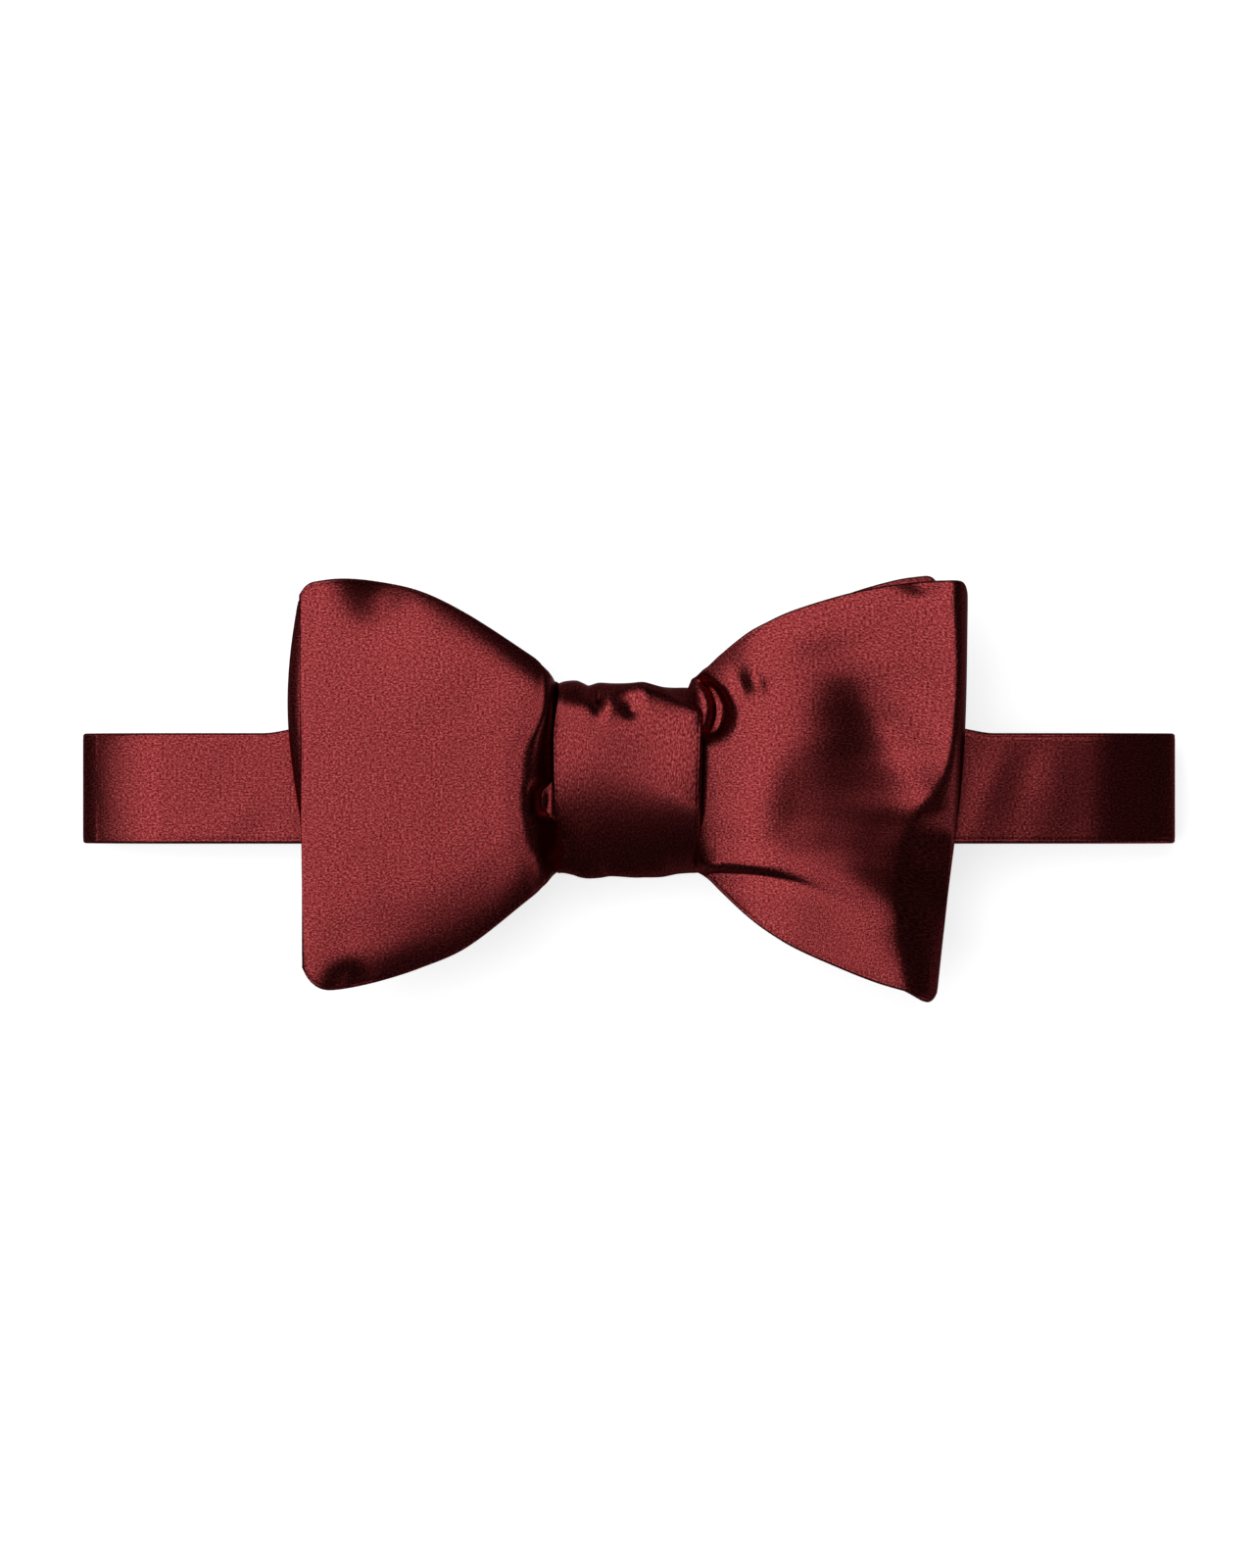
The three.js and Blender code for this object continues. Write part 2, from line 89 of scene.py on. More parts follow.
# Each wing's outline and height, a row for each section: distance out, top edge, bottom edge,
# height over the knot's middle, and how far the edges fall below that.
FRONT_BLADE_END = (
    (12.4, 16.8, -12.5, TOP_LAYER, 1.5),
    (13.0, 19.0, -14.8, 3.4, 1.6),
    (13.7, 19.3, -15.5, 4.4, 1.8),
    (14.2, 20.2, -16.0, 6.3, 2.2),
    (14.9, 21.1, -16.9, 9.1, 2.8),
    (15.4, 21.7, -17.5, 10.8, 3.0),
    (15.8, 22.1, -17.9, 11.7, 3.2),
    (16.4, 22.7, -18.5, 12.5, 3.3),
    (17.2, 23.4, -19.2, 12.9, 3.4),
    (28.9, 31.1, -28.3, 12.6, 3.4),
    (37.3, 35.2, -32.0, 12.4, 3.4),
    (45.7, 37.1, -34.6, 12.1, 3.2),
    (52.0, 37.5, -35.9, 11.8, 2.8),
    (58.6, 36.6, -36.2, 11.5, 2.2),
)
FRONT_LOOP_OUTER = (
    (9.4, 14.8, -11.0, TOP_LAYER, 1.0),
    (10.4, 17.0, -11.2, 3.2, 1.0),
    (11.4, 19.3, -11.8, 3.8, 1.1),
    (12.6, 20.6, -14.9, 5.3, 1.2),
    (13.4, 21.3, -15.6, 5.8, 1.2),
    (14.4, 22.0, -16.4, 6.3, 1.2),
    (16.4, 23.9, -18.4, 7.2, 1.2),
    (21.2, 27.8, -22.9, 9.1, 1.0),
    (25.0, 29.9, -25.8, 10.1, 0.9),
    (29.6, 32.1, -28.5, 10.8, 0.8),
    (38.0, 35.4, -32.0, 11.6, 0.7),
    (45.0, 36.9, -34.7, 12.4, 0.7),
    (50.0, 37.1, -36.2, 13.2, 0.7),
)
FRONT_LOOP_INNER = (
    (3.5, 15.2, -12.9, MIDDLE_LAYER, 1.0),
    (12.4, 15.2, -12.9, MIDDLE_LAYER, 1.0),
    (13.3, 15.8, -13.5, 1.4, 1.0),
    (17.0, 22.0, -18.0, 2.6, 1.0),
    (25.0, 29.2, -25.0, 3.8, 0.8),
    (38.0, 34.8, -31.6, 4.4, 0.6),
    (50.0, 36.8, -36.4, 4.6, 0.4),
)
REAR_LOOP_OUTER = (
    (3.5, 15.2, -12.9, MIDDLE_LAYER, 1.0),
    (12.8, 15.2, -12.9, MIDDLE_LAYER, 1.0),
    (13.9, 15.8, -13.5, 1.5, 1.0),
    (17.6, 22.0, -18.0, 3.5, 2.0),
    (25.0, 28.2, -25.0, 7.0, 3.8),
    (38.0, 34.4, -31.4, 7.6, 4.2),
    (55.6, 35.6, -34.2, 7.2, 3.4),
)
REAR_LOOP_INNER = (
    (3.5, 15.2, -12.9, LOW_LAYER, 0.0),
    (12.8, 15.2, -12.9, LOW_LAYER, 0.0),
    (13.9, 15.8, -13.5, -1.5, 0.0),
    (17.6, 21.6, -17.6, -0.7, 0.0),
    (25.0, 28.0, -24.6, 0.6, 0.0),
    (38.0, 34.0, -31.0, 1.0, 0.0),
    (55.6, 35.2, -33.8, 1.2, 0.0),
)
REAR_BLADE_END = (
    (3.5, 15.2, -12.9, LOW_LAYER, 0.0),
    (12.4, 15.2, -12.9, LOW_LAYER, 0.0),
    (13.3, 15.8, -13.5, -1.5, 0.0),
    (17.0, 22.0, -18.0, -0.7, 0.1),
    (25.0, 29.0, -24.8, 0.6, 0.4),
    (38.0, 34.6, -31.2, 1.4, 0.6),
    (48.0, 37.6, -34.4, 1.6, 0.6),
    (55.4, 38.6, -35.6, 1.6, 0.6),
)

# The crescent where the left wing climbs from the knot
CLIMB_START = 13.7
CLIMB_END = 17.2
CLIMB_SETTLE = 6.0
CLIMB_LEAST = 0.37
CRESCENT_STRETCH = 1.15
CRESCENT_MIDDLE = -1.2
CRESCENT_REACH = 12.0

PUCKER_WIDTH = 2.4
PUCKER_MIDDLE = -2.1
PUCKER_REACH = 3.1

# How each wing's outer edge leans and bows: lean, bow, crown.
FRONT_BLADE_EDGE = (0.3, 0.7, 0.1)
FRONT_LOOP_EDGE = (2.6, 3.0, 0.1)
REAR_LOOP_EDGE = (0.0, 9.0, 0.42)
REAR_BLADE_EDGE = (0.4, 0.4, 0.0)
HALF_HEIGHT = 37.0
BOW_LIMIT = 0.9
EDGE_FROM = 26.0

# Where the sections begin inside the knot, in the front layer and in all layers behind it
WAIST_FRONT = 0.5
WAIST_BACK = 3.5

# The turned folds of the loops: how far each reaches, its pinch at the tip and its lower edge's drop.
FRONT_FOLD = (8.9, 2.4, 2.9)
REAR_FOLD = (5.2, 1.6, 0.0)
PINCH_POWER = 8
TOP_CORNER = 2.2
BOTTOM_CORNER = 4.6
BELLY_POWER_ABOVE = 5
BELLY_POWER_BELOW = 4.5
# How deep the lower edge falls, as a share of the upper one's fall: distance out, share.
BELLY_BELOW = (
    (12.4, 1.6),
    (13.2, 1.0),
    (14.6, 0.5),
    (30.0, 0.7),
    (40.0, 0.7),
    (60.0, 0.7),
)

# Gathers that radiate from the knot: place across the cloth from -1 to 1, spread, depth.
GATHERS = (
    (0.78, 0.12, 1.1),
    (0.44, 0.12, 1.0),
    (-0.1, 0.14, 0.8),
    (-0.72, 0.12, 1.2),
)
GATHER_LENGTH = 9.0

# Soft dents and swells of the front bow: x, y, size along, size across, turn in degrees, height.
FRONT_FOLDS = (
    (29.0, -1.0, 5.0, 11.0, 0, -0.3),
    (-15.0, -2.8, 1.8, 0.35, 84, -0.5),
    (19.5, -4.0, 10.0, 8.0, -15, 1.1),
    (-45.0, 36.0, 7.5, 5.4, 90, -1.9),
    (-43.0, 38.6, 7.0, 2.8, -10, -1.0),
    (-49.6, -35.0, 3.4, 3.0, 60, -1.2),
    (-57.5, 31.0, 8.0, 1.6, 88, -0.5),
    (-45.0, -30.0, 9.0, 4.0, 12, 0.4),
    (52.0, 36.3, 3.6, 2.0, 0, -1.2),
    (24.0, -17.5, 9.0, 2.6, -10, 0.3),
    (20.1, 18.35, 2.6, 1.2, -68, -0.6),
    (22.8, 19.45, 2.6, 1.2, -68, 0.6),
)
# Where steps and valleys fade in and out, as shares of their lines, and how a valley's right slope
# narrows
STEP_FADE_IN = (-0.05, 0.12)
STEP_FADE_END = 1.1
VALLEY_FADE_IN = (-0.1, 0.2)
VALLEY_FADE_OUT = (0.85, 1.15)
VALLEY_NARROWING = 0.7
# Bent lines where the cloth steps down. The left side of a line, looking along it, is the high one.
# Columns: start x and y, end x and y, sideways bow, width, reach, height, share where it starts to fade.
FRONT_STEPS = (
    (12.0, -14.6, 41.0, -21.0, 2.6, 0.5, 3.2, 0.85, 0.15),
)
# Bent lines where the cloth is drawn into a valley. Columns: start x and y, end x and y, sideways bow,
# half width of the bottom, width of the left slope, width of the right slope, depth.
FRONT_VALLEYS = (
    (13.6, 8.2, 13.6, 19.6, -2.8, 0.55, 2.2, 2.7, 2.3),
)
# The hollow of the right wing: y, where it starts and ends, its steepest slope down to the right,
# and the share of the drop that comes back at the rim.
HOLLOW = (
    (-37.0, 46.0, 70.0, 0.70, 0.0),
    (-32.0, 43.0, 68.0, 0.70, 0.0),
    (-28.0, 41.0, 66.0, 0.70, 0.0),
    (-24.0, 40.0, 64.0, 0.70, 0.0),
    (-20.0, 36.2, 63.0, 0.67, 0.0),
    (-16.0, 30.0, 61.5, 0.53, 0.0),
    (-12.0, 22.5, 60.5, 0.37, 0.0),
    (-8.0, 18.0, 60.0, 0.28, 0.1),
    (-4.0, 14.5, 54.0, 0.18, 0.3),
    (0.0, 17.5, 50.0, 0.175, 0.65),
    (4.0, 22.3, 47.5, 0.192, 0.8),
    (8.0, 27.0, 46.0, 0.242, 0.9),
    (12.0, 28.0, 44.0, 0.24, 0.9),
    (16.0, 28.0, 42.0, 0.18, 0.9),
    (20.0, 26.0, 40.0, 0.09, 0.9),
    (24.0, 23.0, 36.0, 0.045, 0.9),
    (28.0, 24.0, 38.0, 0.0, 0.9),
    (38.0, 23.0, 38.0, 0.0, 0.9),
)
RIM_RISE = 13.0
# The hollow's whole drop, as a share of its length times its steepest slope.
HOLLOW_FORM = 9 / 16
# Where the right wing starts to roll over into its fold: y, x.
ROLL_START = (
    (-37.0, 49.5),
    (-24.0, 47.5),
    (-12.0, 48.0),
    (-4.0, 51.5),
    (0.0, 54.2),
    (4.0, 56.2),
    (10.0, 57.5),
    (22.0, 58.2),
    (38.0, 57.2),
)

# The neck band's dents and swells, with the columns of the front bow's.
BAND_FOLDS = (
    (-71.0, -5.0, 5.0, 3.0, 20, 0.15),
    (65.0, 0.0, 9.0, 2.4, 70, 0.12),
    (70.5, -1.0, 9.0, 2.4, 74, -0.08),
    (78.0, 2.0, 5.0, 6.0, 20, 0.2),
    (85.5, 0.0, 4.5, 20.0, 0, 0.4),
)

# The knot's outline from the front: x, top, bottom. And its sides: y, left, right.
KNOT_OUTLINE = (
    (-13.5, 18.9, -15.6),
    (-12.4, 19.3, -15.3),
    (-10.2, 19.5, -15.7),
    (-9.0, 19.1, -16.1),
    (-7.7, 18.6, -16.3),
    (-5.6, 19.1, -16.2),
    (-3.5, 19.0, -15.9),
    (1.0, 18.9, -16.15),
    (2.5, 18.8, -16.1),
    (4.2, 18.4, -16.1),
    (6.0, 18.3, -16.0),
    (8.5, 18.2, -15.5),
    (11.0, 18.2, -15.3),
    (12.9, 18.0, -15.3),
)
KNOT_SIDES = (
    (-16.0, -13.2, 12.9),
    (-8.0, -13.3, 12.9),
    (0.0, -13.7, 12.9),
    (10.0, -13.8, 13.2),
    (14.0, -13.4, 13.1),
    (16.0, -13.1, 12.6),
    (19.0, -12.7, 11.8),
)
# The knot's dents, swells and step, with the columns of the front bow's. They show on its front alone.
KNOT_FOLDS = (
    (-5.4, 16.2, 2.6, 1.2, 90, -1.4),
    (-9.0, 17.0, 3.4, 2.0, 0, -0.5),
    (2.8, 17.2, 3.7, 2.2, 0, 1.5),
    (-3.9, 14.8, 1.6, 2.0, 0, 0.4),
    (0.5, 14.5, 1.8, 1.9, 0, -0.9),
    (13.5, 4.0, 7.0, 8.0, 0, 0.7),
    (-13.5, 9.0, 6.0, 6.0, 0, -0.4),
)
KNOT_STEPS = (
    (13.6, 13.4, 2.6, 19.2, 0.2, 0.5, 3.0, 0.4, 0.85),
)
KNOT_FOLD_RISE = 6.0
KNOT_WAVE_FROM = 0.5
KNOT_TUCK_POWER = 4

# The faint waviness that any cloth has. Columns: height, length along x, how far it winds with y and
# over what length, length along y, how far it winds with x and over what length.
RIPPLES = (
    (0.05, 4.3, 1.4, 6.1, 5.2, 1.0, 7.7),
    (0.015, 2.1, 2.0, 3.3, 2.4, -1.5, 3.9),
)

# Mesh spacing
SECTION_STEP = 0.55
STEEP_STEP = 0.22
STEEP_END = 17.0
HIDDEN_STEP = 1.6
HIDDEN_MARGIN = 1.5
TURN_STEPS = 36
RIM_STEPS = (0.0, 0.05, 0.16, 0.34, 0.52, 0.66, 0.8, 1.0, 1.4, 2.0)
FRONT_COLUMNS = 130
REAR_COLUMNS = 70
BAND_COLUMNS = 12
KNOT_AROUND = 280
KNOT_COLUMNS = 64
BAND_UPPER_STEP = 1.0
BAND_LOWER_STEP = 2.0
BAND_TUCK_STEP = 1.5
CLASP_FOLD_STEPS = 14
LOWER_CURVE_STEPS = 20
CREST_STEPS = 60

# The least share of its thickness, squared, that a wall keeps at its rims, and the shortest normal
RIM_LEAST = 0.0025
NORMAL_LEAST = 1e-9
# The seam that is pressed in beside the rims: its distance from them, its width and its depth
SEAM_PLACE = 0.74
SEAM_WIDTH = 0.12
SEAM_DEPTH = 0.06

# The satin. Its grain and thread pitch are counted in centimetres of cloth, its weave's depth in metres.
GRAIN_ALONG = 23.0
GRAIN_ACROSS = 34.0
GRAIN_DETAIL = 3.0
GRAIN_ROUGHNESS = 0.6
THREAD_PITCH = 0.08
THREAD_SLANT = 0.7
DOT_SHARPNESS = 6.0
DOT_HEIGHT = 0.35
WEAVE_STRENGTH = 0.3
WEAVE_DEPTH = 0.00012
SATIN_ROUGHNESS = 0.28
SATIN_EDGE_TINT = (0.85, 0.55, 0.56, 1)
# The tones of its threads: level of the grain, colour.
THREAD_TONES = (
    (0.33, (0.030, 0.0020, 0.0030)),
    (0.50, (0.130, 0.0140, 0.0155)),
    (0.67, (0.250, 0.0530, 0.0540)),
)
CLASP_COLOUR = (0.6, 0.6, 0.62)
CLASP_ROUGHNESS = 0.3

# The studio, in metres: the floor, the card that the satin mirrors in its place, and the lights.
FLOOR_REACH = 3.0
FLOOR_COLOUR = (0.5, 0.5, 0.5)
FLOOR_ROUGHNESS = 0.8
FLOOR_GLOW = 0.76
CARD_DROP = 0.002
CARD_GLOW = 0.2
WORLD_GLOW = 0.06
# Columns: name, place, size, power.
LIGHTS = (
    ("key", (-0.40, 0.25, 1.02), (1.8, 1.12), 16.4),
    ("front_fill", (1.5, -1.5, 0.6), (2.6, 1.0), 6.0),
    ("back_fill", (-1.5, 1.5, 0.8), (2.6, 1.0), 6.0),
)
# The camera: its lens in millimetres, its nearest distance in metres, its place in millimetres
CAMERA_LENS = 118.35
CAMERA_NEAR = 0.05
CAMERA_PLACE = (-0.354, 0.797, 944)


def ramp(low, high, x):
    t = np.clip((x - low) / (high - low), 0, 1)
    return t * t * (3 - 2 * t)


def mix(a, b, t):
    return a + (b - a) * t


# The values of a table's columns at each distance out, on a smooth curve through its rows.
def table_values(rows, out):
    rows = np.array(rows, float)
    places = rows[:, 0]
    out = np.clip(np.atleast_1d(np.asarray(out, float)), places[0], places[-1])
    last = len(rows) - 1
    before = np.maximum(np.arange(last + 1) - 1, 0)
    after = np.minimum(np.arange(last + 1) + 1, last)
    slopes = (rows[after, 1:] - rows[before, 1:]) / (places[after] - places[before])[:, None]
    i = np.clip(np.searchsorted(places, out, side="right") - 1, 0, last - 1)
    span = (places[i + 1] - places[i])[:, None]
    t = (out - places[i])[:, None] / span
    rise = (1 - t) ** 2 * t * span * slopes[i] - t**2 * (1 - t) * span * slopes[i + 1]
    return mix(rows[i, 1:], rows[i + 1, 1:], t * t * (3 - 2 * t)) + rise


def relief(folds, x, y):
    total = np.zeros_like(x)
    for fold_x, fold_y, long, wide, turn, height in folds:
        c, s = math.cos(math.radians(turn)), math.sin(math.radians(turn))
        along = (x - fold_x) * c + (y - fold_y) * s
        across = (y - fold_y) * c - (x - fold_x) * s
        total += height * np.exp(-((along / long) ** 2) - (across / wide) ** 2)
    return total


# How far points are along a line from start to end, as a share, and across it to its left.
def bent_line(start_x, start_y, end_x, end_y, bow, x, y):
    long = math.hypot(end_x - start_x, end_y - start_y)
    c, s = (end_x - start_x) / long, (end_y - start_y) / long
    along = ((x - start_x) * c + (y - start_y) * s) / long
    across = (y - start_y) * c - (x - start_x) * s - 4 * bow * along * (1 - along)
    return along, across


def steps(rows, x, y):
    total = np.zeros_like(x)
    for start_x, start_y, end_x, end_y, bow, width, reach, height, fade_from in rows:
        along, across = bent_line(start_x, start_y, end_x, end_y, bow, x, y)
        fade = ramp(*STEP_FADE_IN, along) * (1 - ramp(fade_from, STEP_FADE_END, along))
        wide = width * (1 + np.clip(along, 0, 1))
        total += height * fade * np.tanh(across / wide) * np.exp(-((across / reach) ** 2))
    return total


def valleys(rows, x, y):
    total = np.zeros_like(x)
    for start_x, start_y, end_x, end_y, bow, bottom, left, right, depth in rows:
        along, across = bent_line(start_x, start_y, end_x, end_y, bow, x, y)
        fade = ramp(*VALLEY_FADE_IN, along) * (1 - ramp(*VALLEY_FADE_OUT, along))
        right = right * (1 + VALLEY_NARROWING * (0.5 - np.clip(along, 0, 1)))
        sunk = (1 - ramp(bottom, bottom + left, across)) * ramp(-bottom - right, -bottom, across)
        total -= depth * fade * sunk
    return total


def smooth_value(rows, place):
    return table_values(rows, place.reshape(-1)).reshape(place.shape + (-1,))


# The hollow's slope grows slowly from its start and ends steeply, and then the rim comes up again.
def hollow_depth(x, y):
    start, end, steepest, back = np.moveaxis(smooth_value(HOLLOW, y), -1, 0)
    share = np.clip((x - start) / (end - start), 0, 1)
    fallen = share**3 * (4 - 3 * share)
    risen = ramp(0, 1, (x - end) / RIM_RISE)
    drop = steepest * (end - start) * HOLLOW_FORM
    return -drop * (fallen - back * risen) * (x > 0)


# The left wing climbs from the knot over a longer way in the middle, which makes a crescent beside it.
# Gives the distance out at which the climb has the height that belongs here.
def squeezed_out(out, y):
    stretch = CLIMB_LEAST + CRESCENT_STRETCH * np.exp(-((y - CRESCENT_MIDDLE) / CRESCENT_REACH) ** 4)
    climb_end = mix(CLIMB_START, CLIMB_END, stretch)
    start = CLIMB_START + PUCKER_WIDTH * np.exp(-((y - PUCKER_MIDDLE) / PUCKER_REACH) ** 4)
    near = mix(CLIMB_START, CLIMB_END, np.maximum(out - start, 0) / (climb_end - start))
    far = mix(CLIMB_END, out, ramp(0, 1, (out - climb_end) / CLIMB_SETTLE))
    return np.where(out < CLIMB_START, out, np.where(out < climb_end, near, far))


def edge_shift(edge, y):
    lean, bow, crown = edge
    share = y / HALF_HEIGHT
    off = (share - crown) ** 2
    return lean * share - bow * off / (1 + BOW_LIMIT * off)


def corner_drop(distance, radius):
    inside = np.clip(radius - distance, 0, radius)
    return radius - np.sqrt(radius**2 - inside**2)


def gather_depth(across, out):
    fade = np.exp(-((np.maximum(out - KNOT_HALF_WIDTH, 0) / GATHER_LENGTH) ** 2))
    return -sum(depth * fade * np.exp(-(((across - at) / spread) ** 2)) for at, spread, depth in GATHERS)


# A run of sections as columns: side, out, top, bottom, lift, belly, shown, edge_to, turned.
def run_sections(side, rows, places, shown=1.0):
    values = table_values(rows, places)
    count = len(places)
    fixed = [np.full(count, side), np.asarray(places, float)]
    tail = [np.full(count, shown), np.full(count, rows[-1][0]), np.zeros(count)]
    return np.column_stack(fixed + [values] + tail)


def blade_sections(side, rows, places):
    tip = rows[-1][0]
    made = run_sections(side, rows, places)
    made[:, 2] -= corner_drop(tip - made[:, 1], TOP_CORNER)
    made[:, 3] += corner_drop(tip - made[:, 1], BOTTOM_CORNER)
    return made


def turn_sections(side, outer, inner, fold):
    reach, pinch_most, drop = fold
    angle = np.pi * (0.5 - np.arange(1, TURN_STEPS) / TURN_STEPS)
    share = 0.5 - np.sin(angle) / 2
    start, end = outer[-1], inner[-1]
    pinch = pinch_most * np.cos(angle) ** PINCH_POWER
    return np.column_stack([
        np.full(len(angle), side),
        start[0] + reach * np.cos(angle),
        mix(start[1], end[1], share) - pinch,
        mix(start[2], end[2], share) + pinch - drop * np.cos(angle),
        mix(start[3], end[3], share),
        mix(start[4], end[4], share),
        1 - share,
        np.full(len(angle), start[0]),
        np.cos(angle),
    ])


def spaced(start, end, step):
    return np.linspace(start, end, max(2, round(abs(end - start) / step) + 1))


# Distances out from inside the knot to the start of a fold or the end of a blade.
def places_out(inner, end):
    hidden_end = KNOT_HALF_WIDTH - HIDDEN_MARGIN
    hidden = spaced(inner, hidden_end, HIDDEN_STEP)
    steep = spaced(hidden_end, STEEP_END, STEEP_STEP)
    return np.concatenate([hidden[:-1], steep[:-1], spaced(STEEP_END, end, SECTION_STEP)])


# Places across each section, from its bottom edge to its top: fine at both rims, even between them.
def places_across(top, bottom, columns):
    rim = np.array(RIM_STEPS)
    inner = np.linspace(0, 1, columns + 1)[1:-1]
    middle = mix(bottom + rim[-1], top - rim[-1], inner)
    return np.concatenate([bottom + rim, middle, top - rim[::-1]], axis=1)


# The middle surface of a blade and its loop: rows along the cloth, columns across it.
# The front one rolls into its fold, climbs from the knot and has the photo's folds. The rear one is
# gathered.
def bow_grid(sections, edges, columns, in_front):
    side, out, top, bottom, lift, belly, shown, edge_to, turned = np.moveaxis(sections[..., None], 1, 0)
    y = places_across(top, bottom, columns)
    across = 2 * (y - bottom) / (top - bottom) - 1
    shift = np.where(side < 0, edge_shift(edges[0], y), edge_shift(edges[1], y))
    if in_front:
        start_shift = smooth_value(ROLL_START, y)[..., 0] - FRONT_LOOP_OUTER[-1][0]
        shift = np.where(side > 0, mix(start_shift, shift, turned), shift)
    x = side * (out + shift * ramp(EDGE_FROM, edge_to, out))
    if in_front:
        climb = smooth_value(FRONT_BLADE_END, squeezed_out(out, y))[..., 2]
        lift = np.where(side < 0, climb, lift)
    power = np.where(across < 0, BELLY_POWER_BELOW, BELLY_POWER_ABOVE)
    fall = belly * np.where(across < 0, smooth_value(BELLY_BELOW, out)[..., 0], 1.0)
    z = KNOT_HEIGHT + lift - fall * np.abs(across) ** power + ripple(x, y) * shown
    if in_front:
        z = z + front_detail(x, y) * shown
    else:
        z = z + gather_depth(across, out)
    return np.stack([x, y, z], axis=2)


def front_detail(x, y):
    pressed = steps(FRONT_STEPS, x, y) + valleys(FRONT_VALLEYS, x, y)
    return relief(FRONT_FOLDS, x, y) + pressed + hollow_depth(x, y)


def ripple(x, y):
    total = np.zeros_like(x)
    for height, long_x, wind_y, wind_y_over, long_y, wind_x, wind_x_over in RIPPLES:
        first = np.sin(x / long_x + wind_y * np.sin(y / wind_y_over))
        second = np.sin(y / long_y + wind_x * np.sin(x / wind_x_over))
        total += height * first * second
    return total


# How far each column and row of a grid is from the rims, along the cloth.
def rim_distance(grid, ends):
    across = np.linalg.norm(np.diff(grid, axis=1), axis=2)
    from_low = np.concatenate([np.zeros((len(grid), 1)), np.cumsum(across, axis=1)], axis=1)
    distance = np.minimum(from_low, from_low[:, -1:] - from_low)
    if ends:
        along = np.linalg.norm(np.diff(grid, axis=0), axis=2)
        from_start = np.concatenate([np.zeros((1, grid.shape[1])), np.cumsum(along, axis=0)], axis=0)
        distance = np.minimum(distance, np.minimum(from_start, from_start[-1:] - from_start))
    return distance


def grid_normals(grid, closed):
    if closed:
        along = np.roll(grid, -1, axis=0) - np.roll(grid, 1, axis=0)
    else:
        along = np.gradient(grid, axis=0)
    normal = np.cross(along, np.gradient(grid, axis=1))
    return normal / np.maximum(np.linalg.norm(normal, axis=2, keepdims=True), NORMAL_LEAST)


# The corners of a wall round a middle surface: its top side and then its under side.
# The rims are rounded, and a seam is pressed in beside them.
def wall_points(grid, wall, closed):
    distance = rim_distance(grid, ends=not closed)
    rounding = np.clip(1 - distance / (wall / 2), 0, 1)
    half = wall / 2 * np.sqrt(np.maximum(1 - rounding**2, RIM_LEAST))
    half = half - SEAM_DEPTH * np.exp(-(((distance - SEAM_PLACE) / SEAM_WIDTH) ** 2))
    offset = grid_normals(grid, closed) * half[..., None]
    return np.concatenate([grid + offset, grid - offset]).reshape(-1, 3)


# The quads of that wall. A closed one joins its last row to its first.
def wall_faces(rows, columns, closed):
    over = np.arange(rows * columns).reshape(rows, columns)
    if closed:
        over = np.concatenate([over, over[:1]])
    under = over + rows * columns
    sides = [
        (over[:-1, :-1], over[1:, :-1], over[1:, 1:], over[:-1, 1:]),
        (under[:-1, :-1], under[:-1, 1:], under[1:, 1:], under[1:, :-1]),
        (over[:-1, 0], under[:-1, 0], under[1:, 0], over[1:, 0]),
        (over[1:, -1], under[1:, -1], under[:-1, -1], over[:-1, -1]),
    ]
    if not closed:
        sides.append((over[0, :-1], over[0, 1:], under[0, 1:], under[0, :-1]))
        sides.append((over[-1, :-1], under[-1, :-1], under[-1, 1:], over[-1, 1:]))
    return np.concatenate([np.stack(corners, axis=-1).reshape(-1, 4) for corners in sides])


def cloth_piece(name, grid, wall, closed=False):
    points = wall_points(grid, wall, closed) * MM
    faces = wall_faces(*grid.shape[:2], closed)
    mesh = bpy.data.meshes.new(name)
    mesh.from_pydata(points.tolist(), [], faces.tolist())
    mesh.shade_smooth()
    add_cloth_map(mesh, grid, faces)
    piece = bpy.data.objects.new(name, mesh)
    bpy.context.scene.collection.objects.link(piece)
    return piece


# A map of the flat cloth, in centimetres: along its middle line, and across from that line.
def add_cloth_map(mesh, grid, faces):
    middle = grid.shape[1] // 2
    lengths = np.linalg.norm(np.diff(grid[:, middle], axis=0), axis=1)
    along = np.concatenate([[0], np.cumsum(lengths)])[:, None] + 0 * grid[..., 1]
    widths = np.linalg.norm(np.diff(grid, axis=1), axis=2)
    across = np.concatenate([np.zeros((len(grid), 1)), np.cumsum(widths, axis=1)], axis=1)
    across = across - across[:, middle:middle + 1]
    places = np.stack([along, across], axis=2).reshape(-1, 2) * MM / CM
    places = np.concatenate([places, places])
    layer = mesh.uv_layers.new(name="cloth")
    layer.data.foreach_set("uv", places[faces.reshape(-1)].astype(np.float32).reshape(-1))


# Distances out for a blade, with fine steps at its tip.
def blade_places(inner, end):
    rim = np.array(RIM_STEPS)
    return np.concatenate([places_out(inner, end - rim[-1])[:-1], end - rim[::-1]])


